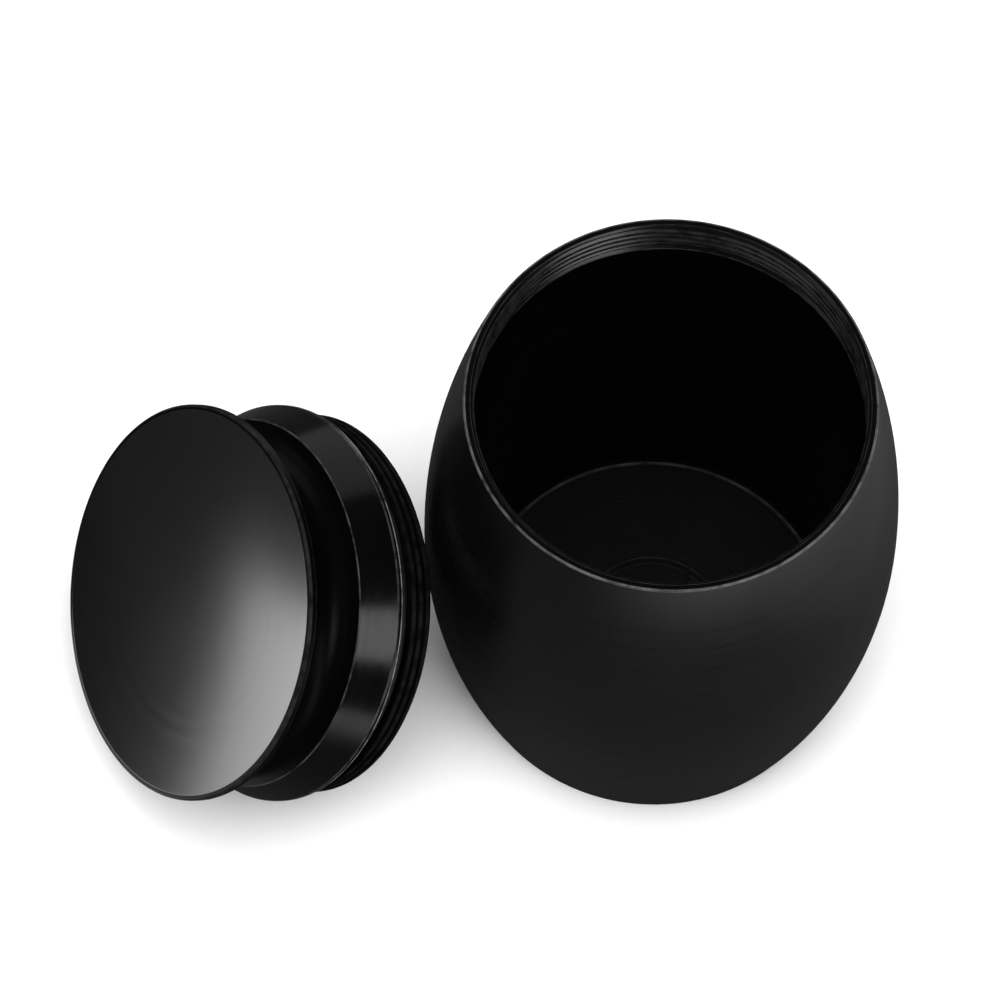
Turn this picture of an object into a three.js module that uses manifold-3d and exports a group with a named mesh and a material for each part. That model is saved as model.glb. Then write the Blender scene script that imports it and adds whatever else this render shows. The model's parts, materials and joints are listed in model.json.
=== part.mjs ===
// A small turned metal candle tin with its screw lid off: a barrel-bellied jar standing upright,
// and the lid leaning on the jar's side with its dished top turned outwards.
// Millimetres, +Z up, origin at the middle of the jar's base.
import * as THREE from 'three';
import { mergeVertices } from 'three/addons/utils/BufferGeometryUtils.js';
import Module from 'manifold-3d';

const wasm = await Module();
wasm.setup();

// ---- Jar -----------------------------------------------------------------------------------
const JAR_HEIGHT = 53.8;
const RIM_RADIUS = 20.0;
const BELLY_SWELL = 3.6;          // how far the belly stands out beyond the rim
const BELLY_HEIGHT = 26.0;        // height of the widest ring above the base
const FOOT_DRAW = 4.3;            // how far the foot draws in from the belly
const FOOT_ROUND = 0.6;           // rounding where the side meets the base
const FLOOR_THICKNESS = 2.8;
const FLOOR_FILLET = 1.0;         // inside corner between floor and wall
const FLOOR_RING_RADIUS = 7.0;    // the shallow turned ring on the jar's floor
const FLOOR_RING_WIDTH = 0.6;
const FLOOR_RING_DEPTH = 0.2;
const MOUTH_WALL = 0.7;           // wall left between the thread's root and the rim's outside
const RIM_CHAMFER = 0.25;
const LEAD_IN = 0.4;              // height of the countersunk start of the thread
const BORE_STEP = 0.25;           // how much tighter the bore is than the thread's root

// ---- Thread, shared by the jar's mouth and the lid's spigot ---------------------------------
const THREAD_PITCH = 0.9;
const THREAD_DEPTH = 0.35;
const THREAD_CREST = 0.3;         // flat left on top of each thread
const THREAD_CLEARANCE = 0.2;     // radial play between the two threads
const THREAD_END_GAP = 0.3;       // height left under the lid's spigot when it is screwed home
const RELIEF_WIDTH = 1.1;         // plain groove below the jar's thread, where the tool leaves
const RELIEF_DEPTH = 0.05;        // how much deeper than the thread's root that groove is
const CUT_MARGIN = 0.3;           // how far a thread cutter reaches beyond the metal

// ---- Lid -----------------------------------------------------------------------------------
const HEAD_HEIGHT = 11.8;         // flange seat to the lid's top plane
const LIP_INSET = 0.2;            // how far the top lip stands inside the flange
const LIP_THICKNESS = 0.8;
const LIP_ROUND = 0.3;
const LIP_LAND = 0.25;            // narrow flat ring round the dished top
const DISH_DEPTH = 1.5;
const WAIST_DEPTH = 3.8;          // how far the waist draws in from the flange
const WAIST_DROP = 5.0;           // top plane down to the narrowest ring
const BAND_HEIGHT = 4.6;          // flange seat up to the ridge of the tapered band
const BAND_DRAW = 1.5;            // how far the band tapers in at its ridge
const FLANGE_THICKNESS = 0.9;
const FLANGE_CHAMFER = 0.4;
const SPIGOT_LENGTH = 4.2;
const SPIGOT_CHAMFER = 0.4;
const RECESS_WALL = 3.0;          // spigot wall round the recess in the lid's underside
const RECESS_DEPTH = 3.0;

// ---- Seal ring -----------------------------------------------------------------------------
const SEAL_SECTION = 1.0;         // thickness of the rubber ring's round section
const SEAL_SINK = 0.2;            // how far the ring stays below the thread's crest
const FIT_GAP = 0.3;              // clear space round the ring in its groove

// ---- How the lid leans ---------------------------------------------------------------------
const LEAN_TILT = 54.8;           // lid axis from upright, degrees
const LEAN_BEARING = 195.0;       // where the lid stands round the jar, degrees from +X
const LEAN_FACING = 204.1;        // which way the lid's top faces, degrees from +X
const LEAN_GAP = 0.4;             // nearest approach of the leaning lid to the jar

// ---- Smoothness ----------------------------------------------------------------------------
const SEGMENTS = 60;              // facets round every turned surface
const SIDE_STEPS = 7;             // points along each half of the jar's side
const CURVE_STEPS = 6;            // points along each half of the lid's neck
const DISH_STEPS = 8;             // points across half of the lid's dish
const ROUND_STEPS = 3;            // points along a small rounding
const SEAL_STEPS = 8;             // points round the seal ring's section
const PROBE_STEPS = 180;          // points round each ring when the lean is worked out
const BISECTIONS = 40;

// ---- Sizes that follow from the ones above --------------------------------------------------
const BELLY_RADIUS = RIM_RADIUS + BELLY_SWELL;
const MOUTH_RADIUS = RIM_RADIUS - MOUTH_WALL;
const JAR_CREST_RADIUS = MOUTH_RADIUS - THREAD_DEPTH;
const THREAD_LENGTH = SPIGOT_LENGTH + THREAD_END_GAP - RELIEF_WIDTH;
const RELIEF_RADIUS = MOUTH_RADIUS + RELIEF_DEPTH;
const BORE_RADIUS = MOUTH_RADIUS - BORE_STEP;
const FLANGE_RADIUS = RIM_RADIUS;
const LIP_RADIUS = FLANGE_RADIUS - LIP_INSET;
const WAIST_RADIUS = FLANGE_RADIUS - WAIST_DEPTH;
const SPIGOT_RADIUS = MOUTH_RADIUS - THREAD_CLEARANCE;
const SPIGOT_ROOT_RADIUS = SPIGOT_RADIUS - THREAD_DEPTH;
const SEAL_RADIUS = SPIGOT_RADIUS - SEAL_SINK - SEAL_SECTION / 2;
const GROOVE_RADIUS = SEAL_RADIUS - SEAL_SECTION / 2 - FIT_GAP;
const GROOVE_WIDTH = SEAL_SECTION + 2 * FIT_GAP;
const RECESS_RADIUS = SPIGOT_RADIUS - RECESS_WALL;

const degrees = THREE.MathUtils.degToRad;

// ---- Solids --------------------------------------------------------------------------------

/** The closed body of a buffer geometry, as a solid that can be cut and joined. */
function toSolid(geometry) {
  const bare = new THREE.BufferGeometry();
  bare.setAttribute('position', geometry.getAttribute('position'));
  bare.setIndex(geometry.getIndex());
  const merged = mergeVertices(bare, 1e-5);
  const index = merged.getIndex().array;
  const triangles = [];
  for (let i = 0; i < index.length; i += 3) {
    const [a, b, c] = [index[i], index[i + 1], index[i + 2]];
    if (a !== b && b !== c && c !== a) {
      triangles.push(a, b, c);
    }
  }
  return new wasm.Manifold(new wasm.Mesh({
    numProp: 3,
    vertProperties: new Float32Array(merged.getAttribute('position').array),
    triVerts: new Uint32Array(triangles),
  }));
}

/** A solid turned back into a geometry with flat normals. */
function toGeometry(solid) {
  const mesh = solid.getMesh();
  const geometry = new THREE.BufferGeometry();
  geometry.setAttribute('position', new THREE.BufferAttribute(mesh.vertProperties, 3));
  geometry.setIndex(new THREE.BufferAttribute(mesh.triVerts, 1));
  const flat = geometry.toNonIndexed();
  flat.computeVertexNormals();
  return flat;
}

/** A body turned about Z from a profile of [radius, height] points that runs up its outside. */
function turn(profile) {
  const points = profile.map(([radius, height]) => new THREE.Vector2(radius, height));
  const lathe = new THREE.LatheGeometry(points, SEGMENTS);
  lathe.rotateX(Math.PI / 2);
  return toSolid(lathe);
}

/**
 * A tapered bar wound round Z: the shape that cuts one groove of a thread. Its facets are half a
 * step round from those of the turned body, so no edge of one lies on an edge of the other.
 */
function threadCutter(rootRadius, openRadius, bottom, top) {
  const rootHalf = (THREAD_PITCH - THREAD_CREST) / 8;
  const taper = (THREAD_PITCH - THREAD_CREST) / 2 - rootHalf;
  const openHalf = rootHalf + taper * Math.abs(openRadius - rootRadius) / THREAD_DEPTH;
  const section = [
    [rootRadius, -rootHalf],
    [openRadius, -openHalf],
    [openRadius, openHalf],
    [rootRadius, rootHalf],
  ];
  if (rootRadius > openRadius) {
    section.reverse();
  }
  const steps = Math.ceil((top - bottom) / THREAD_PITCH * SEGMENTS);
  const positions = [];
  for (let i = 0; i <= steps; i += 1) {
    const angle = (i + 0.5) * 2 * Math.PI / SEGMENTS;
    const height = bottom + i * THREAD_PITCH / SEGMENTS;
    for (const [radius, rise] of section) {
      positions.push(radius * Math.cos(angle), radius * Math.sin(angle), height + rise);
    }
  }
  const index = [0, 1, 2, 0, 2, 3];
  for (let i = 0; i < steps; i += 1) {
    for (let k = 0; k < 4; k += 1) {
      const a = i * 4 + k;
      const b = i * 4 + (k + 1) % 4;
      index.push(a, a + 4, b + 4, a, b + 4, b);
    }
  }
  const last = steps * 4;
  index.push(last, last + 2, last + 1, last, last + 3, last + 2);
  const geometry = new THREE.BufferGeometry();
  geometry.setAttribute('position', new THREE.Float32BufferAttribute(positions, 3));
  geometry.setIndex(index);
  return toSolid(geometry);
}

// ---- Profiles, as [radius, height] points ---------------------------------------------------

/** Points along a quarter of an ellipse, from angle `from` to angle `to` in degrees. */
function arc(centre, radii, from, to, steps) {
  const points = [];
  for (let i = 0; i <= steps; i += 1) {
    const angle = degrees(from + (to - from) * i / steps);
    points.push([
      centre[0] + radii[0] * Math.cos(angle),
      centre[1] + radii[1] * Math.sin(angle),
    ]);
  }
  return points;
}

/** The jar's outside radius at a height: two arcs that meet upright at the belly. */
function sideRadius(height) {
  const above = height >= BELLY_HEIGHT;
  const span = above ? JAR_HEIGHT - BELLY_HEIGHT : BELLY_HEIGHT;
  const drop = above ? BELLY_SWELL : FOOT_DRAW;
  const bend = (span ** 2 + drop ** 2) / (2 * drop);
  const offset = height - BELLY_HEIGHT;
  return BELLY_RADIUS - bend + Math.sqrt(bend ** 2 - offset ** 2);
}

/** Points up the jar's side between two heights. */
function side(from, to) {
  const points = [];
  for (let i = 0; i <= SIDE_STEPS; i += 1) {
    const height = from + (to - from) * i / SIDE_STEPS;
    points.push([sideRadius(height), height]);
  }
  return points;
}

/** The jar: base, side, rim, thread band, relief, bore and floor. */
function jarProfile() {
  const footEdge = sideRadius(FOOT_ROUND) - FOOT_ROUND;
  const bandBottom = JAR_HEIGHT - THREAD_LENGTH;
  const boreTop = bandBottom - RELIEF_WIDTH;
  return [
    [0, 0],
    ...arc([footEdge, FOOT_ROUND], [FOOT_ROUND, FOOT_ROUND], -90, 0, ROUND_STEPS).slice(0, -1),
    ...side(FOOT_ROUND, BELLY_HEIGHT).slice(0, -1),
    ...side(BELLY_HEIGHT, JAR_HEIGHT - RIM_CHAMFER),
    [RIM_RADIUS - RIM_CHAMFER, JAR_HEIGHT],
    [RELIEF_RADIUS, JAR_HEIGHT],
    [JAR_CREST_RADIUS, JAR_HEIGHT - LEAD_IN],
    [JAR_CREST_RADIUS, bandBottom],
    [RELIEF_RADIUS, bandBottom - (RELIEF_RADIUS - JAR_CREST_RADIUS)],
    [RELIEF_RADIUS, boreTop + (RELIEF_RADIUS - BORE_RADIUS)],
    [BORE_RADIUS, boreTop],
    ...arc([BORE_RADIUS - FLOOR_FILLET, FLOOR_THICKNESS + FLOOR_FILLET],
      [FLOOR_FILLET, FLOOR_FILLET], 0, -90, ROUND_STEPS),
    [FLOOR_RING_RADIUS + FLOOR_RING_WIDTH / 2, FLOOR_THICKNESS],
    [FLOOR_RING_RADIUS, FLOOR_THICKNESS - FLOOR_RING_DEPTH],
    [FLOOR_RING_RADIUS - FLOOR_RING_WIDTH / 2, FLOOR_THICKNESS],
    [0, FLOOR_THICKNESS],
  ];
}

/** The lid's neck: a round groove from the band's ridge in to the waist and out to the lip. */
function neck() {
  const waistHeight = HEAD_HEIGHT - WAIST_DROP;
  const ridge = FLANGE_RADIUS - BAND_DRAW;
  const outer = LIP_RADIUS - LIP_ROUND;
  const below = [ridge - WAIST_RADIUS, waistHeight - BAND_HEIGHT];
  const above = [outer - WAIST_RADIUS, WAIST_DROP - LIP_THICKNESS];
  return [
    ...arc([ridge, waistHeight], below, 270, 180, CURVE_STEPS),
    ...arc([outer, waistHeight], above, 180, 90, CURVE_STEPS).slice(1),
  ];
}

/** The lid's top: rounded lip, narrow land, and the shallow dish inside it. */
function top() {
  const lip = [LIP_RADIUS - LIP_ROUND, HEAD_HEIGHT - LIP_ROUND];
  const dishRadius = LIP_RADIUS - LIP_ROUND - LIP_LAND;
  const bowl = (dishRadius ** 2 + DISH_DEPTH ** 2) / (2 * DISH_DEPTH);
  const points = [];
  for (let i = 0; i <= DISH_STEPS; i += 1) {
    const radius = dishRadius * (1 - i / DISH_STEPS);
    points.push([radius, HEAD_HEIGHT - DISH_DEPTH + bowl - Math.sqrt(bowl ** 2 - radius ** 2)]);
  }
  return [
    [LIP_RADIUS, HEAD_HEIGHT - LIP_THICKNESS + LIP_ROUND / 2],
    ...arc(lip, [LIP_ROUND, LIP_ROUND], 0, 90, ROUND_STEPS),
    ...points,
  ];
}

/** The lid, with height 0 on the flange face that seats on the jar's rim. */
function lidProfile() {
  const ceiling = RECESS_DEPTH - SPIGOT_LENGTH;
  return [
    [0, ceiling],
    [RECESS_RADIUS, ceiling],
    [RECESS_RADIUS, -SPIGOT_LENGTH],
    [SPIGOT_RADIUS - SPIGOT_CHAMFER, -SPIGOT_LENGTH],
    [SPIGOT_RADIUS, SPIGOT_CHAMFER - SPIGOT_LENGTH],
    [SPIGOT_RADIUS, -GROOVE_WIDTH],
    [GROOVE_RADIUS, -GROOVE_WIDTH],
    [GROOVE_RADIUS, 0],
    [FLANGE_RADIUS - FLANGE_CHAMFER, 0],
    [FLANGE_RADIUS, FLANGE_CHAMFER],
    [FLANGE_RADIUS, FLANGE_THICKNESS],
    ...neck(),
    ...top(),
  ];
}

// ---- Pieces --------------------------------------------------------------------------------

/** The jar, with the thread cut into its mouth. */
function makeJar() {
  const bottom = JAR_HEIGHT - THREAD_LENGTH - RELIEF_WIDTH / 2;
  const top = JAR_HEIGHT + THREAD_PITCH / 2;
  const cutter = threadCutter(MOUTH_RADIUS, JAR_CREST_RADIUS - CUT_MARGIN, bottom, top);
  return toGeometry(turn(jarProfile()).subtract(cutter));
}

/** The lid, with the thread cut into its spigot. */
function makeLid() {
  const bottom = -SPIGOT_LENGTH - THREAD_PITCH / 2;
  const top = -GROOVE_WIDTH / 2;
  const cutter = threadCutter(SPIGOT_ROOT_RADIUS, SPIGOT_RADIUS + CUT_MARGIN, bottom, top);
  return toGeometry(turn(lidProfile()).subtract(cutter));
}

/** The round rubber ring, in the middle of its groove under the flange. */
function makeSealRing() {
  const ring = new THREE.TorusGeometry(SEAL_RADIUS, SEAL_SECTION / 2, SEAL_STEPS, SEGMENTS);
  ring.translate(0, 0, -GROOVE_WIDTH / 2);
  return toGeometry(toSolid(ring));
}

// ---- The lean ------------------------------------------------------------------------------

/** Height of the lid's seat when its lowest ring just touches the table. */
function leanHeight() {
  const tilt = degrees(LEAN_TILT);
  const reach = ([radius, height]) => radius * Math.sin(tilt) - height * Math.cos(tilt);
  return Math.max(...lidProfile().map(reach));
}

/** Where the lid's seat stands when the middle of its top is `reach` from the jar's axis. */
function leanPosition(reach) {
  const facing = degrees(LEAN_FACING);
  const bearing = degrees(LEAN_BEARING);
  const setback = HEAD_HEIGHT * Math.sin(degrees(LEAN_TILT));
  return new THREE.Vector3(
    reach * Math.cos(bearing) - setback * Math.cos(facing),
    reach * Math.sin(bearing) - setback * Math.sin(facing),
    leanHeight(),
  );
}

/** The turn that lays the lid's axis over, away from the jar. */
function leanRotation() {
  return new THREE.Euler(0, degrees(LEAN_TILT), degrees(LEAN_FACING), 'ZYX');
}

/** The smallest space between the jar's side and the lid at a given reach. */
function leanClearance(reach) {
  const position = leanPosition(reach);
  const rotation = leanRotation();
  let nearest = Infinity;
  for (const [radius, height] of lidProfile()) {
    for (let i = 0; i < PROBE_STEPS; i += 1) {
      const angle = i * 2 * Math.PI / PROBE_STEPS;
      const point = new THREE.Vector3(radius * Math.cos(angle), radius * Math.sin(angle), height);
      point.applyEuler(rotation).add(position);
      const level = THREE.MathUtils.clamp(point.z, 0, JAR_HEIGHT);
      nearest = Math.min(nearest, Math.hypot(point.x, point.y) - sideRadius(level));
    }
  }
  return nearest;
}

/** The reach at which the leaning lid stops just short of the jar. */
function leanReach() {
  let near = 0;
  let far = BELLY_RADIUS + 2 * FLANGE_RADIUS + HEAD_HEIGHT + SPIGOT_LENGTH;
  for (let i = 0; i < BISECTIONS; i += 1) {
    const middle = (near + far) / 2;
    if (leanClearance(middle) < LEAN_GAP) {
      near = middle;
    } else {
      far = middle;
    }
  }
  return far;
}

// ---- Assembly ------------------------------------------------------------------------------

/** A named piece with its own material. */
function piece(name, geometry, color, roughness, metalness) {
  const material = new THREE.MeshStandardMaterial({ name, color, roughness, metalness });
  const mesh = new THREE.Mesh(geometry, material);
  mesh.name = name;
  return mesh;
}

const jar = piece('jar', makeJar(), 0x1b1c1e, 0.42, 0.85);
const lid = piece('lid', makeLid(), 0x1d1e20, 0.38, 0.85);
const sealRing = piece('seal_ring', makeSealRing(), 0x0c0c0d, 0.6, 0.0);

const leaningLid = new THREE.Group();
leaningLid.name = 'leaning_lid';
leaningLid.add(lid, sealRing);
leaningLid.position.copy(leanPosition(leanReach()));
leaningLid.rotation.copy(leanRotation());

const candleTin = new THREE.Group();
candleTin.name = 'candle_tin';
candleTin.add(jar, leaningLid);

export default candleTin;
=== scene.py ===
"""A small turned candle tin in black: an open jar, with its screw lid leaning beside it.

Lengths of the tin's parts and finishes are millimetres, and each mesh is scaled to metres as it
is made. The frame, the studio and the camera are in metres, and their angles in degrees.
"""

import json
import logging
import math
from dataclasses import dataclass
from enum import Enum

import bmesh
import bpy
from mathutils import Matrix, Vector


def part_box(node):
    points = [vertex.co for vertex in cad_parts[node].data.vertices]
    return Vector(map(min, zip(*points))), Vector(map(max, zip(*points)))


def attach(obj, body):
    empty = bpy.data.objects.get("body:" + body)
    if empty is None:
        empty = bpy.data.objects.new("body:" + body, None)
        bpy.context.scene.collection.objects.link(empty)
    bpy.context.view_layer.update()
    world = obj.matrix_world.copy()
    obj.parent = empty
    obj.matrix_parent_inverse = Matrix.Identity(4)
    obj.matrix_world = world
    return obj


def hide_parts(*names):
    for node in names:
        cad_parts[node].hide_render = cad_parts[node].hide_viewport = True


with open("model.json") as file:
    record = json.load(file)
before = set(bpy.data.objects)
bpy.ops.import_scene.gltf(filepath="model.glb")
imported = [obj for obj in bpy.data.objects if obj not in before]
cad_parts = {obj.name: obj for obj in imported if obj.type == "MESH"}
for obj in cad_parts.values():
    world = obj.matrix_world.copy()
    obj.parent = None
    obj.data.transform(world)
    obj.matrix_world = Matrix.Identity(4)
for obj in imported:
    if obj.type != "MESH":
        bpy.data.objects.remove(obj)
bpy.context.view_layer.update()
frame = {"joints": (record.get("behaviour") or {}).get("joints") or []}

MM = 0.001
LOG = logging.getLogger("candle_tin")

Colour = tuple[float, float, float]
Point = tuple[float, float]


# ---- Shader tools ---------------------------------------------------------------------------


class Signal:
    """A shader socket that takes part in arithmetic: each operator adds one Math node."""

    def __init__(self, bench: "NodeBench", socket: bpy.types.NodeSocket) -> None:
        """Keeps the socket and the bench that its nodes are made on."""
        self.bench = bench
        self.socket = socket

    def _math(self, operation: str, *values: "Signal | float") -> "Signal":
        """Adds one Math node.

        Args:
            operation: The Math node's operation.
            values: Its one to three operands, in order.

        Returns:
            The node's result.
        """
        return self.bench.node(
            "ShaderNodeMath", {"operation": operation}, dict(enumerate(values))
        )

    def __add__(self, other: "Signal | float") -> "Signal":
        """This plus the other."""
        return self._math("ADD", self, other)

    def __radd__(self, other: float) -> "Signal":
        """A number plus this."""
        return self._math("ADD", other, self)

    def __sub__(self, other: "Signal | float") -> "Signal":
        """This less the other."""
        return self._math("SUBTRACT", self, other)

    def __rsub__(self, other: float) -> "Signal":
        """A number less this."""
        return self._math("SUBTRACT", other, self)

    def __mul__(self, other: "Signal | float") -> "Signal":
        """This times the other."""
        return self._math("MULTIPLY", self, other)

    def __rmul__(self, other: float) -> "Signal":
        """A number times this."""
        return self._math("MULTIPLY", other, self)

    def root(self) -> "Signal":
        """The square root of this."""
        return self._math("SQRT", self)

    def rise(self, low: float, high: float) -> "Signal":
        """A soft step.

        Args:
            low: Where the step starts, at 0.
            high: Where it ends, at 1.

        Returns:
            The step's height at this value.
        """
        return self.bench.node(
            "ShaderNodeMapRange",
            {"interpolation_type": "SMOOTHSTEP"},
            {0: self, 1: low, 2: high, 3: 0.0, 4: 1.0},
        )


class NodeBench:
    """A node tree, and the one way in which nodes are put in it."""

    def __init__(self, tree: bpy.types.NodeTree) -> None:
        """Takes over the tree and clears it."""
        self.tree = tree
        self.tree.nodes.clear()

    def node(
        self,
        kind: str,
        settings: dict | None = None,
        inputs: dict | None = None,
        output: str | int = 0,
    ) -> Signal | None:
        """Adds one node.

        Args:
            kind: The node's type.
            settings: What is set on the node before its sockets, such as its operation.
            inputs: The value or the Signal for each input socket, by name or place.
            output: The name or place of the output socket that is wanted.

        Returns:
            The wanted output, or None where the node has none.
        """
        made = self.tree.nodes.new(kind)
        for name, value in (settings or {}).items():
            setattr(made, name, value)
        for name, value in (inputs or {}).items():
            if isinstance(value, Signal):
                self.tree.links.new(value.socket, made.inputs[name])
            else:
                made.inputs[name].default_value = value
        return Signal(self, made.outputs[output]) if len(made.outputs) else None

    def place(self) -> Signal:
        """The point on a turned piece, in metres from its own axis and seat."""
        return self.node(
            "ShaderNodeAttribute", {"attribute_name": "turned_place"}, output="Vector"
        )

    def ray(self, kind: str) -> Signal:
        """1 where a ray of that kind arrives, and 0 elsewhere."""
        return self.node("ShaderNodeLightPath", output=kind)

    def axes(self, point: Signal) -> tuple[Signal, Signal, Signal]:
        """Splits a point.

        Args:
            point: The point.

        Returns:
            Its three coordinates.
        """
        split = self.node("ShaderNodeSeparateXYZ", {}, {0: point})
        outputs = split.socket.node.outputs
        return split, Signal(self, outputs[1]), Signal(self, outputs[2])

    def noise(self, point: Signal, size: float, detail: float = 2.0) -> Signal:
        """Cloudy noise in space.

        Args:
            point: Where it is looked up.
            size: The size of its patches, in millimetres.
            detail: How many finer layers it has.

        Returns:
            The noise, about 0.5 on average.
        """
        return self.node(
            "ShaderNodeTexNoise",
            {"noise_dimensions": "3D"},
            {"Vector": point, "Scale": 1 / (size * MM), "Detail": detail},
        )

    def lines(self, along: Signal, pitch: float, detail: float = 1.0) -> Signal:
        """Noise that changes along one measure only, so that it makes lines.

        Args:
            along: The measure, in metres.
            pitch: About how far apart the lines are, in millimetres.
            detail: How many finer layers it has.

        Returns:
            The noise, about 0.5 on average.
        """
        return self.node(
            "ShaderNodeTexNoise",
            {"noise_dimensions": "1D"},
            {"W": along, "Scale": 1 / (pitch * MM), "Detail": detail},
        )

    def blend(self, share: Signal | float, first: object, second: object) -> Signal:
        """A mix of two colours.

        Args:
            share: How much of the second, from 0 to 1.
            first: The first colour, a Signal or four numbers.
            second: The second colour.

        Returns:
            The mixed colour.
        """
        return self.node(
            "ShaderNodeMix",
            {"data_type": "RGBA"},
            {0: share, 6: first, 7: second},
            output=2,
        )

    def bump(self, height: Signal) -> Signal:
        """The normal that a height in millimetres gives."""
        return self.node(
            "ShaderNodeBump", {}, {"Strength": 1.0, "Distance": MM, "Height": height}
        )

    def cover(self, inputs: dict) -> None:
        """Ends the material in one plain surface with these inputs."""
        surface = self.node("ShaderNodeBsdfPrincipled", {}, inputs)
        self.node("ShaderNodeOutputMaterial", {}, {0: surface})


def opaque(colour: Colour) -> tuple[float, float, float, float]:
    """The colour with a full alpha."""
    return (*colour, 1.0)


def shades(colour: Colour, shares: Point) -> list[tuple[float, float, float, float]]:
    """The colour scaled by each share, with a full alpha."""
    return [opaque(tuple(share * part for part in colour)) for share in shares]


# ---- Finishes -------------------------------------------------------------------------------


class Cut(Enum):
    """The way a tool's marks run over a turned surface."""

    SIDE = "rings up a side"
    FACE = "rings round a face"


# Tool marks follow the height up a side and the radius on a face, plus this share of the other.
MARK_SLOPE = 0.13
# The coarser tool marks are this many times wider than the feed.
COARSE_FEEDS = 9.0
# The sizes of the blasted grain, of the dye's clouds and of the patches rubbed off.
GRAIN_SIZE = 0.09
CLOUD_SIZE = 9.0
RUB_SIZE = 1.3
DYE_SHADES = (0.55, 1.5)
WORN_METAL = 0.2

RUBBER_GRAIN_SIZE = 0.12
RUBBER_GRAIN_DEPTH = 0.004
BLOOM_SIZE = 2.2
BLOOM_SHADES = (0.7, 1.8)


@dataclass(frozen=True)
class Anodised:
    """Aluminium turned on a lathe, blasted or left bright, and dyed black.

    The feed is how far apart the tool's marks are. Spread scales how much the roughness
    varies, and wear_and_highlight is how far the dye is rubbed off at the edges, where a
    painted highlight is laid along them as well.
    """

    name: str
    colour: Colour
    roughness: float
    gloss: float
    cut: Cut
    feed: float
    mark_depth: float
    grain_depth: float = 0.0015
    wear_and_highlight: float = 0.3
    wear_and_highlight_colour: Colour = (0.15, 0.15, 0.153)
    worn_roughness: float = 0.4
    spread: float = 1.0

    def material(self) -> bpy.types.Material:
        """Makes the finish.

        Returns:
            The finish as a material of nodes.
        """
        made = bpy.data.materials.new(self.name)
        made.use_nodes = True
        bench = NodeBench(made.node_tree)
        point = bench.place()
        across, deep, high = bench.axes(point)
        radius = (across * across + deep * deep).root()
        on_side = self.cut is Cut.SIDE
        along = high + MARK_SLOPE * radius if on_side else radius + MARK_SLOPE * high
        fine = bench.lines(along, self.feed, 2.0)
        coarse = bench.lines(along, COARSE_FEEDS * self.feed)
        grain = bench.noise(point, GRAIN_SIZE, 3.0)
        cloud = bench.noise(point, CLOUD_SIZE, 3.0)
        rubbed = bench.noise(point, RUB_SIZE, 4.0)
        # The edges' mask: dye rubbed off, and partly a painted highlight along rounded edges and
        # thread crests.
        edge = bench.node("ShaderNodeAttribute", {"attribute_name": "edge"}, output="Fac")
        edge_wear_and_highlight = self.wear_and_highlight * edge * rubbed.rise(0.2, 0.7)
        # How pale the dye is: along the tool's lines, in clouds and from grain to grain.
        shade = 0.62 + 0.38 * fine + 0.34 * (cloud - 0.5) + 0.5 * (grain - 0.5)
        dyed = bench.blend(shade.rise(0.45, 1.15), *shades(self.colour, DYE_SHADES))
        rough = (
            self.roughness
            + 0.10 * self.spread * (cloud - 0.5)
            + 0.12 * self.spread * (fine - 0.5)
            + 0.10 * self.spread * (coarse - 0.5)
            + 0.08 * self.spread * (grain - 0.5)
        )
        height = self.mark_depth * (fine + 0.6 * coarse) + self.grain_depth * grain
        bench.cover(
            {
                "Base Color": bench.blend(edge_wear_and_highlight, dyed, opaque(self.wear_and_highlight_colour)),
                "Metallic": WORN_METAL * edge_wear_and_highlight,
                "Roughness": rough + (self.worn_roughness - self.roughness) * edge_wear_and_highlight,
                "Specular IOR Level": self.gloss,
                "Normal": bench.bump(height),
            }
        )
        return made


@dataclass(frozen=True)
class Rubber:
    """Moulded black rubber with a dull bloom."""

    name: str
    colour: Colour
    roughness: float
    gloss: float

    def material(self) -> bpy.types.Material:
        """Makes the finish.

        Returns:
            The finish as a material of nodes.
        """
        made = bpy.data.materials.new(self.name)
        made.use_nodes = True
        bench = NodeBench(made.node_tree)
        point = bench.place()
        bloom = bench.noise(point, BLOOM_SIZE, 4.0)
        grain = bench.noise(point, RUBBER_GRAIN_SIZE, 3.0)
        bloomed = bench.blend(bloom.rise(0.35, 0.7), *shades(self.colour, BLOOM_SHADES))
        bench.cover(
            {
                "Base Color": bloomed,
                "Roughness": self.roughness + 0.14 * (bloom - 0.5) + 0.1 * (grain - 0.5),
                "Specular IOR Level": self.gloss,
                "Normal": bench.bump(RUBBER_GRAIN_DEPTH * grain),
            }
        )
        return made


Finish = Anodised | Rubber

# A finish's pale worn colour on marked edges is rubbed dye and partly a painted highlight line.
SATIN_SIDE = Anodised(
    "satin_side", (0.0015, 0.0015, 0.00155), 0.30, 0.5, Cut.SIDE, 0.10, 0.0005, wear_and_highlight=0.6
)
BRIGHT_RIM = Anodised(
    "bright_rim", (0.001, 0.001, 0.001), 0.24, 0.4, Cut.FACE, 0.05, 0.0004, wear_and_highlight=0.5
)
CUT_THREAD = Anodised(
    "cut_thread", (0.002, 0.002, 0.002), 0.25, 0.5, Cut.SIDE, 0.05, 0.0003, wear_and_highlight=0.15
)
DARK_BORE = Anodised(
    "dark_bore", (0.0008, 0.0008, 0.0008), 0.28, 0.2, Cut.SIDE, 0.12, 0.0004
)
TURNED_FLOOR = Anodised(
    "turned_floor", (0.004, 0.004, 0.0041), 0.32, 0.5, Cut.FACE, 0.2, 0.02,
    wear_and_highlight=0.4, spread=2.0,
)
SATIN_DISH = Anodised(
    "satin_dish", (0.0015, 0.0015, 0.00155), 0.15, 0.9, Cut.FACE, 0.11, 0.0001, spread=0.25
)
DARK_NECK = Anodised(
    "dark_neck", (0.0008, 0.0008, 0.0008), 0.34, 0.07, Cut.SIDE, 0.09, 0.0003
)
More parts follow.
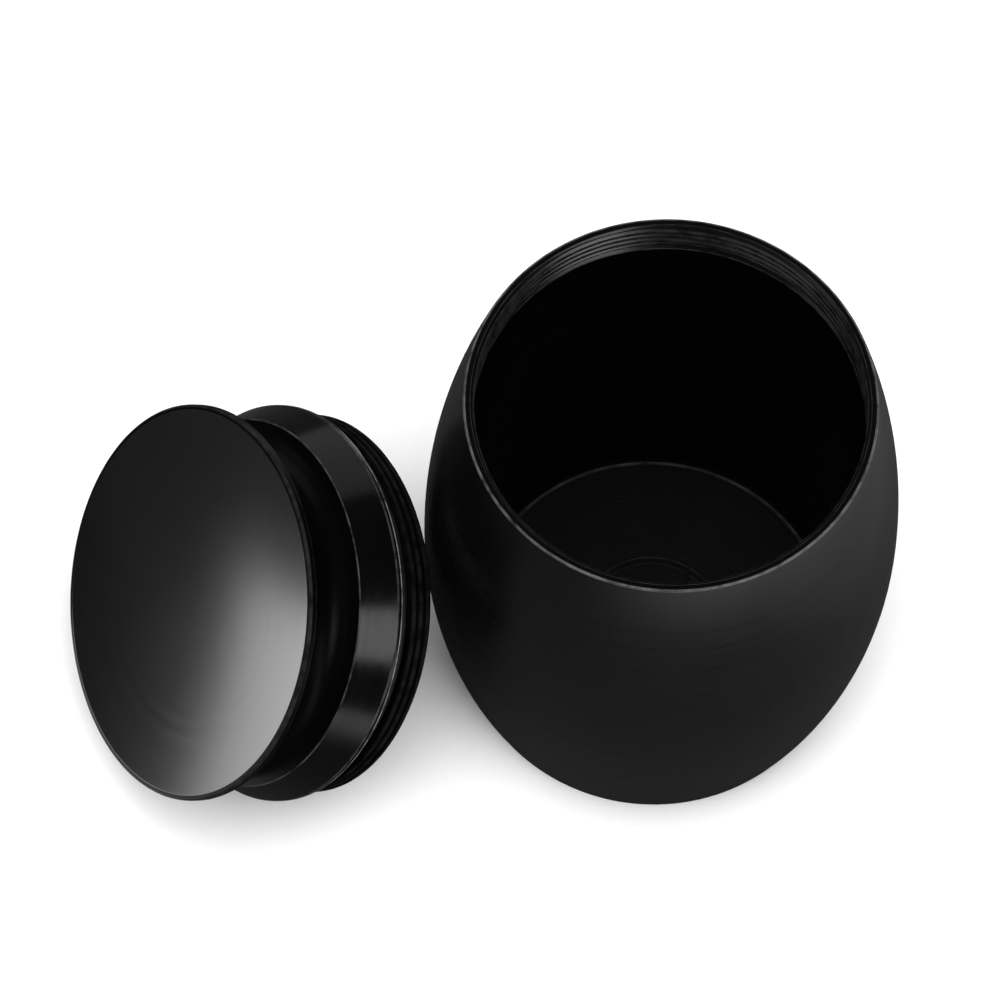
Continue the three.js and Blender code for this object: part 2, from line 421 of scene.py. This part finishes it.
LID_THREAD = Anodised(
    "lid_thread", (0.0006, 0.0006, 0.0006), 0.5, 0.02, Cut.SIDE, 0.05, 0.0002, wear_and_highlight=0.04
)
# The flange's edges take a pale worn colour: rubbed dye and a painted highlight line along them.
GLOSS_WAIST = Anodised(
    "gloss_waist", (0.0012, 0.0012, 0.0012), 0.17, 0.3, Cut.SIDE, 0.09, 0.0003,
    wear_and_highlight=1.0, wear_and_highlight_colour=(0.3, 0.3, 0.305),
)
PLAIN_FACE = Anodised(
    "plain_face", (0.003, 0.003, 0.003), 0.36, 0.3, Cut.FACE, 0.14, 0.0012
)
SEAL_RUBBER = Rubber("seal_rubber", (0.004, 0.004, 0.004), 0.55, 0.3)


# ---- Turned bodies --------------------------------------------------------------------------


@dataclass(frozen=True)
class Thread:
    """A screw thread, as the radius it cuts to round a turned band.

    Of what the crest leaves, a share is flank. The groove's root stays flat for a small part of
    the flank, and the flank is partly straight and partly eased.
    """

    crest: float
    depth: float
    pitch: float
    crest_share: float
    inside: bool

    FLANK = 0.86
    ROOT_FLAT = 0.06
    EASED = 0.35

    def radius(self, turn: float, height: float) -> float:
        """The threaded surface.

        Args:
            turn: The share of a full turn round the axis.
            height: The height up the axis.

        Returns:
            The radius there, before the plain outline limits it.
        """
        share = (height / self.pitch - turn) % 1.0
        away = abs(share - 0.5) * 2
        flank = (1 - self.crest_share) * self.FLANK
        part = min(1.0, max(0.0, (1.0 - away) / flank - self.ROOT_FLAT))
        eased = part * part * (3 - 2 * part) * self.EASED + part * (1 - self.EASED)
        groove = 1.0 - eased if away > 1.0 - flank * (1 + self.ROOT_FLAT) else 0.0
        signed = self.depth if self.inside else -self.depth
        return self.crest + signed * groove

    def trim(self, plain: float, turn: float, height: float) -> float:
        """The plain radius, cut where the thread goes deeper."""
        cut = self.radius(turn, height)
        return max(plain, cut) if self.inside else min(plain, cut)


@dataclass(frozen=True)
class Ring:
    """One ring of points round a turned body."""

    radius: float
    height: float
    edge: float = 0.0
    thread: Thread | None = None


class Outline:
    """A turned body's outline, drawn point by point, with its corners rounded as it goes.

    A rounding takes a few steps and at most the reach, a share of the line on either side. One
    more ring on each side, held close to the rounding, keeps what lies beyond it flat.
    """

    STEPS = 5
    HOLD = 0.35
    HOLD_MOST = 0.03
    REACH = 0.46

    def __init__(self, start: Point) -> None:
        """Starts the outline at a point [radius, height]."""
        self.corners: list[tuple[Point, float, float]] = [(start, 0.0, 0.0)]
        self.marks: list[tuple[int, Finish]] = []

    def finish(self, finish: Finish) -> "Outline":
        """Gives what follows a finish."""
        self.marks.append((len(self.corners) - 1, finish))
        return self

    def to(
        self, radius: float, height: float, rounding: float = 0.0, edge: float = 0.0
    ) -> "Outline":
        """Draws a straight line on to a corner.

        Args:
            radius: The corner's radius.
            height: The corner's height.
            rounding: How far the corner is rounded off.
            edge: How worn the rounding is, and how bright its painted highlight, from 0 to 1.

        Returns:
            The outline.
        """
        self.corners.append(((radius, height), rounding, edge))
        return self

    def through(self, points: list[Point], edge: float = 0.0) -> "Outline":
        """Draws a smooth line.

        Args:
            points: The points that it passes through.
            edge: How worn it is, and how bright its painted highlight, from 0 to 1.

        Returns:
            The outline.
        """
        for radius, height in points:
            self.to(radius, height, 0.0, edge)
        return self

    def _rounded(self, place: int) -> list[Ring]:
        """Rounds one corner off, and holds the rounding by one ring on each side of it.

        Args:
            place: Which corner it is.

        Returns:
            The corner's rings.
        """
        corner, size, edge = self.corners[place]
        here = Vector(corner)
        if size <= 0 or place in (0, len(self.corners) - 1):
            return [Ring(*corner, edge)]
        back = Vector(self.corners[place - 1][0]) - here
        ahead = Vector(self.corners[place + 1][0]) - here
        half = back.angle(ahead) / 2
        most = self.REACH * min(back.length, ahead.length)
        reach = min(size / math.tan(half), most)
        size = reach * math.tan(half)
        first = here + back.normalized() * reach
        last = here + ahead.normalized() * reach
        middle = here + (back.normalized() + ahead.normalized()).normalized() * (
            size / math.sin(half)
        )
        rings = []
        start, end = first - middle, last - middle
        for step in range(self.STEPS + 1):
            share = step / self.STEPS
            spoke = start.lerp(end, share)
            point = middle + spoke.normalized() * size
            rings.append(Ring(point.x, point.y, edge))
        hold = min(self.HOLD * size, self.HOLD_MOST)
        before = first + back.normalized() * hold
        after = last + ahead.normalized() * hold
        return [Ring(before.x, before.y), *rings, Ring(after.x, after.y)]

    def rings(self) -> tuple[list[Ring], list[Finish]]:
        """The whole outline.

        Returns:
            Its rings, and the finish of the band that follows each ring.
        """
        rings: list[Ring] = []
        finishes: list[Finish] = []
        finish = self.marks[0][1]
        starts = dict(self.marks)
        for place in range(len(self.corners)):
            finish = starts.get(place, finish)
            fresh = self._rounded(place)
            rings.extend(fresh)
            finishes.extend([finish] * len(fresh))
        return rings, finishes


@dataclass(frozen=True)
class Turning:
    """Makes meshes by turning an outline about the Z axis."""

    segments: int = 160
    thread_step: float = 0.075
    thread_near: float = 1.2
    axis_radius: float = 1e-6

    def threaded(
        self,
        rings: list[Ring],
        finishes: list[Finish],
        thread: Thread,
        low: float,
        high: float,
    ) -> tuple[list[Ring], list[Finish]]:
        """Splits the bands that a thread crosses into close rings.

        Args:
            rings: The outline's rings.
            finishes: The finish after each ring.
            thread: The thread.
            low: Where the thread starts, up the axis.
            high: Where it ends.

        Returns:
            The rings and finishes with the threaded band made fine.
        """
        fine, kept = [], []
        for place, ring in enumerate(rings):
            inside = low <= ring.height <= high
            fine.append(Ring(ring.radius, ring.height, ring.edge, thread if inside else None))
            kept.append(finishes[place])
            if place + 1 == len(rings):
                break
            after = rings[place + 1]
            rise = after.height - ring.height
            heights = (ring.height, after.height)
            crosses = min(heights) < high and max(heights) > low
            close = all(
                abs(end.radius - thread.crest) < self.thread_near for end in (ring, after)
            )
            if not (crosses and close) or abs(rise) <= self.thread_step:
                continue
            count = math.ceil(abs(rise) / self.thread_step)
            for step in range(1, count):
                share = step / count
                height = ring.height + rise * share
                radius = ring.radius + (after.radius - ring.radius) * share
                within = low <= height <= high
                fine.append(Ring(radius, height, 0.0, thread if within else None))
                kept.append(finishes[place])
        return fine, kept

    def body(
        self,
        name: str,
        rings: list[Ring],
        finishes: list[Finish],
        stance: Matrix,
        closed: bool = False,
    ) -> bpy.types.Object:
        """Turns rings into one closed mesh.

        Args:
            name: The piece's name.
            rings: The rings, up the outside and down the inside.
            finishes: The finish of the band after each ring.
            stance: Where the turned body stands in the frame.
            closed: True if the last ring joins the first.

        Returns:
            The piece, in its place.
        """
        mesh = bmesh.new()
        edge_wear_and_highlight = mesh.verts.layers.float.new("edge")
        place = mesh.verts.layers.float_vector.new("turned_place")
        slots: list[Finish] = []
        rows = [self._row(mesh, edge_wear_and_highlight, ring) for ring in rings]
        pairs = list(zip(rows, rows[1:], finishes))
        if closed:
            pairs.append((rows[-1], rows[0], finishes[-1]))
        for first, second, finish in pairs:
            if finish not in slots:
                slots.append(finish)
            self._band(mesh, first, second, slots.index(finish))
        for point in mesh.verts:
            point[place] = point.co
        mesh.transform(stance)
        data = bpy.data.meshes.new(name)
        mesh.to_mesh(data)
        mesh.free()
        for finish in slots:
            data.materials.append(finish.material())
        piece = bpy.data.objects.new(name, data)
        bpy.context.scene.collection.objects.link(piece)
        return piece

    def _row(
        self, mesh: bmesh.types.BMesh, edge_wear_and_highlight: bmesh.types.BMLayerItem, ring: Ring
    ) -> list[bmesh.types.BMVert]:
        """Makes the points of one ring.

        Args:
            mesh: The mesh that gets them.
            edge_wear_and_highlight: The mesh's layer for worn edges and their painted highlight.
            ring: The ring.

        Returns:
            The points, or only one where the ring lies on the axis.
        """
        if ring.radius < self.axis_radius:
            tip = mesh.verts.new((0, 0, ring.height * MM))
            tip[edge_wear_and_highlight] = ring.edge
            return [tip]
        row = []
        for step in range(self.segments):
            turn = step / self.segments
            radius, edge = ring.radius, ring.edge
            if ring.thread:
                radius = ring.thread.trim(ring.radius, turn, ring.height)
                # Thread crests take the edge mask: wear, with a painted highlight along them.
                crest = 1 - abs(radius - ring.thread.crest) / ring.thread.depth
                edge = max(edge, min(1.0, max(0.0, crest * 2 - 1)))
            angle = 2 * math.pi * turn
            point = mesh.verts.new(
                (radius * math.cos(angle) * MM, radius * math.sin(angle) * MM, ring.height * MM)
            )
            point[edge_wear_and_highlight] = edge
            row.append(point)
        return row

    def _band(
        self,
        mesh: bmesh.types.BMesh,
        first: list[bmesh.types.BMVert],
        second: list[bmesh.types.BMVert],
        slot: int,
    ) -> None:
        """Makes the faces between two rows of points.

        Args:
            mesh: The mesh that gets them.
            first: The earlier row.
            second: The later row.
            slot: The place of their finish.
        """
        count = max(len(first), len(second))
        if count == 1:
            return
        for step in range(count):
            after = (step + 1) % count
            if len(first) == 1:
                corners = (first[0], second[after], second[step])
            elif len(second) == 1:
                corners = (first[step], first[after], second[0])
            else:
                corners = (first[step], first[after], second[after], second[step])
            face = mesh.faces.new(corners)
            face.material_index = slot
            face.smooth = True


def arc(centre: Point, radii: Point, start: float, end: float, steps: int) -> list[Point]:
    """Points along part of an ellipse.

    Args:
        centre: Its centre [radius, height].
        radii: Its two half-widths.
        start: The first point's angle, in degrees.
        end: The last point's angle.
        steps: How many steps lie between them.

    Returns:
        The points.
    """
    points = []
    for step in range(steps + 1):
        angle = math.radians(start + (end - start) * step / steps)
        out, up = radii[0] * math.cos(angle), radii[1] * math.sin(angle)
        points.append((centre[0] + out, centre[1] + up))
    return points


# ---- The tin's parts ------------------------------------------------------------------------


@dataclass
class Jar:
    """The barrel-bellied jar, open at the top, with a thread inside its mouth."""

    turning: Turning
    rim_radius: float = 20.0
    belly_height: float = 26.0
    foot_draw: float = 4.3
    foot_round: float = 0.6
    floor_thickness: float = 2.8
    floor_fillet: float = 1.0
    ring_radius: float = 7.0
    ring_width: float = 0.6
    ring_depth: float = 0.2
    mouth_wall: float = 0.7
    rim_round: float = 0.22
    lead_in: float = 0.4
    bore_step: float = 0.25
    relief_width: float = 1.1
    relief_depth: float = 0.05
    pitch: float = 0.9
    thread_depth: float = 0.35
    thread_length: float = 3.4
    thread_crest: float = 0.33
    thread_stop: float = 0.02
    root_round: float = 0.03
    side_steps: int = 26
    side_stop: float = 0.6
    foot_steps: int = 6
    fillet_steps: int = 8
    bright_fillet_steps: int = 3
    bore_ends: float = -72.0
    floor_starts: float = -80.0
    floor_hold: float = 0.04
    base_rings: tuple[float, ...] = (6.0, 12.0, 17.0)
    bore_rings: tuple[float, ...] = (0.2, 0.4, 0.6, 0.8)
    outer_floor: tuple[float, ...] = (16.0, 13.0, 10.0)
    inner_floor: tuple[float, ...] = (4.0, 2.0, 0.6, 0.0)

    def __post_init__(self) -> None:
        """Takes the jar's height and belly from its frame."""
        low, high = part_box("jar")
        self.height = (high.z - low.z) / MM
        self.belly_radius = (high.x - low.x) / 2 / MM

    def side_radius(self, height: float) -> float:
        """The outside: two arcs that meet upright at the belly.

        Args:
            height: The height above the base.

        Returns:
            The radius there.
        """
        above = height >= self.belly_height
        span = self.height - self.belly_height if above else self.belly_height
        drop = self.belly_radius - self.rim_radius if above else self.foot_draw
        bend = (span**2 + drop**2) / (2 * drop)
        away = height - self.belly_height
        return self.belly_radius - bend + math.sqrt(bend**2 - away**2)

    def side(self, low: float, high: float) -> list[Point]:
        """Points up the outside.

        Args:
            low: The height where they start, which has no point.
            high: The height of the last one.

        Returns:
            The points.
        """
        steps = self.side_steps
        heights = [low + (high - low) * step / steps for step in range(1, steps + 1)]
        return [(self.side_radius(height), height) for height in heights]

    def outline(self) -> Outline:
        """Draws the jar from the middle of its base, up the outside and down the inside.

        Returns:
            The outline.
        """
        root = self.rim_radius - self.mouth_wall
        crest = root - self.thread_depth
        relief = root + self.relief_depth
        bore = root - self.bore_step
        band = self.height - self.thread_length
        shoulder = band - self.relief_width
        floor = self.floor_thickness
        foot = self.side_radius(self.foot_round)
        top = self.height
        line = Outline((0.0, 0.0)).finish(PLAIN_FACE)
        line.through([(radius, 0.0) for radius in self.base_rings])
        corner = (foot - self.foot_round, self.foot_round)
        line.through(arc(corner, (self.foot_round,) * 2, -90, 0, self.foot_steps))
        line.finish(SATIN_SIDE)
        line.through(self.side(self.foot_round, self.belly_height))
        line.through(self.side(self.belly_height, top - self.side_stop))
        line.to(self.side_radius(top), top, rounding=self.rim_round, edge=1.0).finish(BRIGHT_RIM)
        line.to(relief, top, rounding=0.05, edge=1.0).finish(CUT_THREAD)
        line.to(crest, top - self.lead_in)
        line.to(crest, band)
        line.to(relief, band - (relief - crest), rounding=self.root_round)
        line.to(relief, shoulder + (relief - bore), rounding=self.root_round)
        line.to(bore, shoulder, rounding=0.12, edge=0.8).finish(DARK_BORE)
        line.through([(bore, top + (floor - top) * share) for share in self.bore_rings])
        hollow = (bore - self.floor_fillet, floor + self.floor_fillet)
        fillet = (self.floor_fillet, self.floor_fillet)
        line.through(arc(hollow, fillet, 0, self.bore_ends, self.fillet_steps))
        line.finish(TURNED_FLOOR)
        # The floor's corner gets the edge mask: a painted highlight line, with some wear.
        bright = arc(hollow, fillet, self.floor_starts, -90, self.bright_fillet_steps)
        line.through(bright, edge=0.4)
        line.to(hollow[0] - self.floor_hold, floor)
        line.through([(radius, floor) for radius in self.outer_floor])
        groove = self.ring_width / 2
        line.to(self.ring_radius + groove, floor, rounding=0.08, edge=0.3)
        line.to(self.ring_radius, floor - self.ring_depth, rounding=0.06)
        line.to(self.ring_radius - groove, floor, rounding=0.08, edge=0.3)
        line.through([(radius, floor) for radius in self.inner_floor])
        return line

    def build(self) -> bpy.types.Object:
        """Makes the jar, and puts it in the frame in place of its plain solid.

        Returns:
            The jar.
        """
        rings, finishes = self.outline().rings()
        crest = self.rim_radius - self.mouth_wall - self.thread_depth
        thread = Thread(crest, self.thread_depth, self.pitch, self.thread_crest, inside=True)
        low = self.height - self.thread_length - self.relief_width / 2
        high = self.height - self.thread_stop
        rings, finishes = self.turning.threaded(rings, finishes, thread, low, high)
        piece = self.turning.body("turned_jar", rings, finishes, Matrix())
        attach(piece, "jar")
        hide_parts("jar")
        return piece


@dataclass(frozen=True)
class Lean:
    """Where the lid's seat is, and which way its top faces."""

    seat: Vector
    up: Vector

    @staticmethod
    def from_frame() -> "Lean":
        """Reads the lid's own axis from the joint that it turns on."""
        joint = next(joint for joint in frame["joints"] if joint["name"] == "lid_turn")
        return Lean(Vector(joint["pos_m"]), Vector(joint["axis"]).normalized())

    def matrix(self) -> Matrix:
        """Leans things that are made upright.

        Returns:
            The turn and the shift from the lid's own frame to the tin's.
        """
        level = Vector((-self.up.y, self.up.x, 0.0)).normalized()
        down = level.cross(self.up)
        turn = Matrix((down, level, self.up)).transposed().to_4x4()
        return Matrix.Translation(self.seat) @ turn


@dataclass
class Lid:
    """The screw lid: dished top, waisted neck, flange, seal groove and threaded spigot."""

    turning: Turning
    lean: Lean
    flange_radius: float = 19.95
    head_height: float = 11.8
    lip_inset: float = 0.2
    lip_thickness: float = 0.8
    lip_round: float = 0.3
    lip_land: float = 0.25
    dish_depth: float = 1.5
    waist_depth: float = 3.8
    waist_drop: float = 5.0
    band_height: float = 4.6
    band_draw: float = 1.5
    flange_thickness: float = 0.9
    flange_chamfer: float = 0.4
    spigot_radius: float = 19.1
    spigot_length: float = 4.2
    spigot_chamfer: float = 0.4
    groove_radius: float = 17.6
    groove_width: float = 1.6
    recess_radius: float = 16.1
    recess_depth: float = 3.0
    pitch: float = 0.9
    thread_depth: float = 0.35
    thread_crest: float = 0.33
    thread_overrun: float = 0.01
    ceiling_rings: tuple[float, ...] = (0.5, 4.0, 8.0, 12.0)
    curve_steps: int = 20

    def lower_neck(self) -> list[Point]:
        """The groove from the band's ridge in to the waist.

        Returns:
            Its points, without the ridge.
        """
        ridge = self.flange_radius - self.band_draw
        waist = self.flange_radius - self.waist_depth
        middle = self.head_height - self.waist_drop
        radii = (ridge - waist, middle - self.band_height)
        return arc((ridge, middle), radii, 270, 180, self.curve_steps)[1:]

    def upper_neck(self) -> list[Point]:
        """The undercut from the waist out to the back of the lip.

        Returns:
            Its points, without the waist.
        """
        outer = self.flange_radius - self.lip_inset - self.lip_round
        waist = self.flange_radius - self.waist_depth
        middle = self.head_height - self.waist_drop
        radii = (outer - waist, self.waist_drop - self.lip_thickness)
        return arc((outer, middle), radii, 180, 90, self.curve_steps)[1:]

    def dish(self) -> list[Point]:
        """The shallow bowl in the top.

        Returns:
            Its points, from inside its edge to its middle.
        """
        edge = self.flange_radius - self.lip_inset - self.lip_round - self.lip_land
        bowl = (edge**2 + self.dish_depth**2) / (2 * self.dish_depth)
        points = []
        for step in range(1, self.curve_steps + 1):
            radius = edge * (1 - step / self.curve_steps)
            sunk = self.dish_depth - bowl + math.sqrt(bowl**2 - radius**2)
            points.append((radius, self.head_height - sunk))
        return points

    def outline(self) -> Outline:
        """Draws the lid from the middle of its underside, out and round to the dish.

        Returns:
            The outline.
        """
        ceiling = self.recess_depth - self.spigot_length
        lip = self.flange_radius - self.lip_inset
        land = lip - self.lip_round - self.lip_land
        head = self.head_height
        tip = self.spigot_radius - self.spigot_chamfer
        seat = self.flange_radius - self.flange_chamfer
        line = Outline((0.0, ceiling)).finish(PLAIN_FACE)
        line.through([(radius, ceiling) for radius in self.ceiling_rings])
        line.to(self.recess_radius, ceiling, rounding=0.4)
        line.to(self.recess_radius, -self.spigot_length, rounding=0.15, edge=0.7)
        line.to(tip, -self.spigot_length, rounding=0.06, edge=0.7)
        line.finish(LID_THREAD)
        line.to(self.spigot_radius, self.spigot_chamfer - self.spigot_length)
        line.to(self.spigot_radius, -self.groove_width, rounding=0.03, edge=0.3)
        line.to(self.groove_radius, -self.groove_width, rounding=0.08)
        line.to(self.groove_radius, 0.0, rounding=0.08).finish(PLAIN_FACE)
        line.to(seat, 0.0, rounding=0.12, edge=0.6).finish(GLOSS_WAIST)
        line.to(self.flange_radius, self.flange_chamfer, rounding=0.24, edge=1.0)
        line.to(self.flange_radius, self.flange_thickness, rounding=0.5, edge=0.1)
        line.to(self.flange_radius - self.band_draw, self.band_height, rounding=0.26, edge=1.0)
        line.finish(DARK_NECK).through(self.lower_neck())
        line.through(self.upper_neck())
        line.to(lip, head - self.lip_thickness, rounding=0.08, edge=0.4)
        line.to(lip, head, rounding=self.lip_round, edge=0.3)
        line.to(land, head, rounding=0.08, edge=0.3).finish(SATIN_DISH)
        line.through(self.dish())
        return line

    def build(self) -> bpy.types.Object:
        """Makes the lid, and leans it in place of its plain solid.

        Returns:
            The lid.
        """
        rings, finishes = self.outline().rings()
        thread = Thread(
            self.spigot_radius, self.thread_depth, self.pitch, self.thread_crest, inside=False
        )
        low, high = -self.spigot_length - self.thread_overrun, -self.groove_width
        rings, finishes = self.turning.threaded(rings, finishes, thread, low, high)
        piece = self.turning.body("turned_lid", rings, finishes, self.lean.matrix())
        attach(piece, "lid")
        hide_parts("lid")
        return piece


@dataclass
class SealRing:
    """The round rubber ring in its groove under the flange."""

    turning: Turning
    lean: Lean
    radius: float = 18.4
    section: float = 0.99
    drop: float = 0.8
    seam: float = 0.02
    seam_power: int = 40
    steps: int = 24

    def build(self) -> bpy.types.Object:
        """Makes the ring, with the faint seam of its mould, in place of its plain solid.

        Returns:
            The ring.
        """
        rings = []
        for step in range(self.steps):
            angle = 2 * math.pi * step / self.steps
            proud = self.seam * max(0.0, math.cos(angle)) ** self.seam_power
            size = self.section / 2 - self.seam + proud
            radius = self.radius + size * math.cos(angle)
            rings.append(Ring(radius, size * math.sin(angle) - self.drop))
        finishes = [SEAL_RUBBER] * len(rings)
        piece = self.turning.body(
            "rubber_seal", rings, finishes, self.lean.matrix(), closed=True
        )
        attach(piece, "seal_ring")
        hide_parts("seal_ring")
        return piece


# ---- Studio ---------------------------------------------------------------------------------


@dataclass(frozen=True)
class SoftBox:
    """A rectangular soft light, some way from its aim, which may light one piece only.

    At a height of -90 degrees and no distance it lies flat on its aim and faces up.
    """

    name: str
    bearing: float
    height: float
    distance: float
    size: Point
    radiance: float
    mirrored: bool = True
    aim: tuple[float, float, float] = (-0.02, 0.0, 0.025)
    only: str | None = None

    def build(self) -> bpy.types.Object:
        """Hangs the light and turns it to its aim.

        Returns:
            The light.
        """
        data = bpy.data.lights.new(self.name, "AREA")
        data.shape = "RECTANGLE"
        data.size, data.size_y = self.size
        data.energy = self.radiance * math.pi * self.size[0] * self.size[1]
        lamp = bpy.data.objects.new(self.name, data)
        bearing, height = math.radians(self.bearing), math.radians(self.height)
        way = Vector(
            (
                math.cos(bearing) * math.cos(height),
                math.sin(bearing) * math.cos(height),
                math.sin(height),
            )
        )
        lamp.location = Vector(self.aim) + way * self.distance
        lamp.rotation_euler = (-way).to_track_quat("-Z", "Y").to_euler()
        lamp.visible_camera = False
        lamp.visible_glossy = self.mirrored
        if self.only:
            lit = bpy.data.collections.new(f"{self.name}_lights")
            lit.objects.link(bpy.data.objects[self.only])
            lamp.light_linking.receiver_collection = lit
        bpy.context.scene.collection.objects.link(lamp)
        return lamp


@dataclass
class Studio:
    """A pale floor, a dim room and soft lights.

    In reflections the floor has a painted shade: its colour is dim at the tin and on its left.
    It turns bright over the clear reach, outwards from the tin, and over the clear side, from
    the left to the right.
    """

    floor_width: float = 8.0
    floor_colour: Colour = (0.88, 0.88, 0.88)
    painted_floor_reflection: Colour = (0.05, 0.05, 0.05)
    clear_reach: tuple[float, float] = (0.065, 0.14)
    clear_side: tuple[float, float] = (-0.06, 0.04)
    backdrop: float = 0.93
    room: float = 0.03
    lights: tuple[SoftBox, ...] = (
        SoftBox("overhead", 270.0, 80.0, 1.6, (1.6, 1.6), 6.5, mirrored=False),
        SoftBox("front_panel", 314.0, 37.0, 0.9, (0.46, 0.36), 3.8),
        SoftBox("back_panel", 95.0, 26.0, 1.0, (0.7, 0.9), 0.6),
        SoftBox("side_panel", 206.0, 20.0, 1.0, (0.4, 0.3), 0.5),
        SoftBox("left_panel", 226.0, 47.0, 1.0, (0.5, 0.3), 1.0),
        SoftBox("rear_left_panel", 136.0, 24.0, 1.0, (0.3, 0.3), 0.9),
        SoftBox(
            "low_card",
            bearing=0.0,
            height=-90.0,
            distance=0.0,
            size=(0.062, 0.03),
            radiance=3.3,
            aim=(-0.088, -0.023, 0.004),
            only="turned_lid",
        ),
        SoftBox(
            "right_card",
            bearing=0.0,
            height=-90.0,
            distance=0.0,
            size=(0.06, 0.12),
            radiance=0.10,
            aim=(0.075, 0.01, 0.003),
            only="turned_jar",
        ),
    )

    def floor(self) -> bpy.types.Object:
        """Lays the floor of matt card, whose colour is painted dim in reflections close to the
        tin, as shade.

        Returns:
            The floor.
        """
        mesh = bmesh.new()
        bmesh.ops.create_grid(mesh, x_segments=8, y_segments=8, size=self.floor_width / 2)
        data = bpy.data.meshes.new("floor")
        mesh.to_mesh(data)
        mesh.free()
        card = bpy.data.materials.new("matt_card_painted_reflection")
        card.use_nodes = True
        bench = NodeBench(card.node_tree)
        place = bench.node("ShaderNodeTexCoord", output="Object")
        tooth = bench.noise(place, 1.5, 3.0)
        shade = bench.blend(tooth.rise(0.3, 0.7), *shades(self.floor_colour, (0.99, 1.0)))
        # Painted reflection: as the metal mirrors it, the floor's colour is painted dim near the
        # tin and on its left, standing in for shade there.
        across, deep, _ = bench.axes(place)
        away = (across * across + deep * deep).root().rise(*self.clear_reach)
        mirrored = bench.blend(
            away * across.rise(*self.clear_side),
            opaque(self.painted_floor_reflection),
            opaque(self.floor_colour),
        )
        seen = bench.blend(bench.ray("Is Glossy Ray"), shade, mirrored)
        bench.cover({"Base Color": seen, "Roughness": 0.9, "Specular IOR Level": 0.0})
        data.materials.append(card)
        floor = bpy.data.objects.new("floor", data)
        bpy.context.scene.collection.objects.link(floor)
        return floor

    def surround(self) -> None:
        """Fills the room with a dim even light, behind a pale backdrop."""
        world = bpy.data.worlds.new("room")
        world.use_nodes = True
        bench = NodeBench(world.node_tree)
        seen = bench.ray("Is Camera Ray")
        strength = self.room + (self.backdrop - self.room) * seen
        glow = bench.node(
            "ShaderNodeBackground", {}, {"Color": (1.0, 1.0, 1.0, 1.0), "Strength": strength}
        )
        bench.node("ShaderNodeOutputWorld", {}, {0: glow})
        bpy.context.scene.world = world

    def build(self) -> None:
        """Sets up the floor, the room and the lights."""
        self.floor()
        self.surround()
        for light in self.lights:
            light.build()
        bpy.context.scene.view_settings.view_transform = "Standard"


@dataclass(frozen=True)
class Eye:
    """The camera: a long lens that looks steeply down."""

    place: tuple[float, float, float] = (0.0, -0.2786, 0.6138)
    down: float = 64.46
    aside: float = -3.42
    roll: float = 2.01
    lens: float = 236.36

    def build(self) -> bpy.types.Object:
        """Makes the scene's camera.

        Returns:
            The camera.
        """
        down, aside, roll = map(math.radians, (self.down, self.aside, self.roll))
        ahead = Vector(
            (math.sin(aside) * math.cos(down), math.cos(aside) * math.cos(down), -math.sin(down))
        )
        right = ahead.cross(Vector((0.0, 0.0, 1.0))).normalized()
        up = right.cross(ahead)
        across = right * math.cos(roll) + up * math.sin(roll)
        over = up * math.cos(roll) - right * math.sin(roll)
        data = bpy.data.cameras.new("eye")
        data.lens = self.lens
        data.sensor_width = 36.0
        data.clip_start, data.clip_end = 0.01, 20.0
        camera = bpy.data.objects.new("eye", data)
        turn = Matrix((across, over, -ahead)).transposed().to_4x4()
        camera.matrix_world = Matrix.Translation(self.place) @ turn
        bpy.context.scene.collection.objects.link(camera)
        bpy.context.scene.camera = camera
        return camera


def main() -> None:
    """Builds the camera, the tin and the studio."""
    logging.basicConfig(level=logging.INFO, format="%(name)s: %(message)s")
    Eye().build()
    turning = Turning()
    lean = Lean.from_frame()
    for part in (Jar(turning), SealRing(turning, lean), Lid(turning, lean)):
        piece = part.build()
        faces, finishes = len(piece.data.polygons), len(piece.data.materials)
        LOG.info("%s: %d faces, %d finishes", piece.name, faces, finishes)
    Studio().build()


if __name__ == "__main__":
    main()
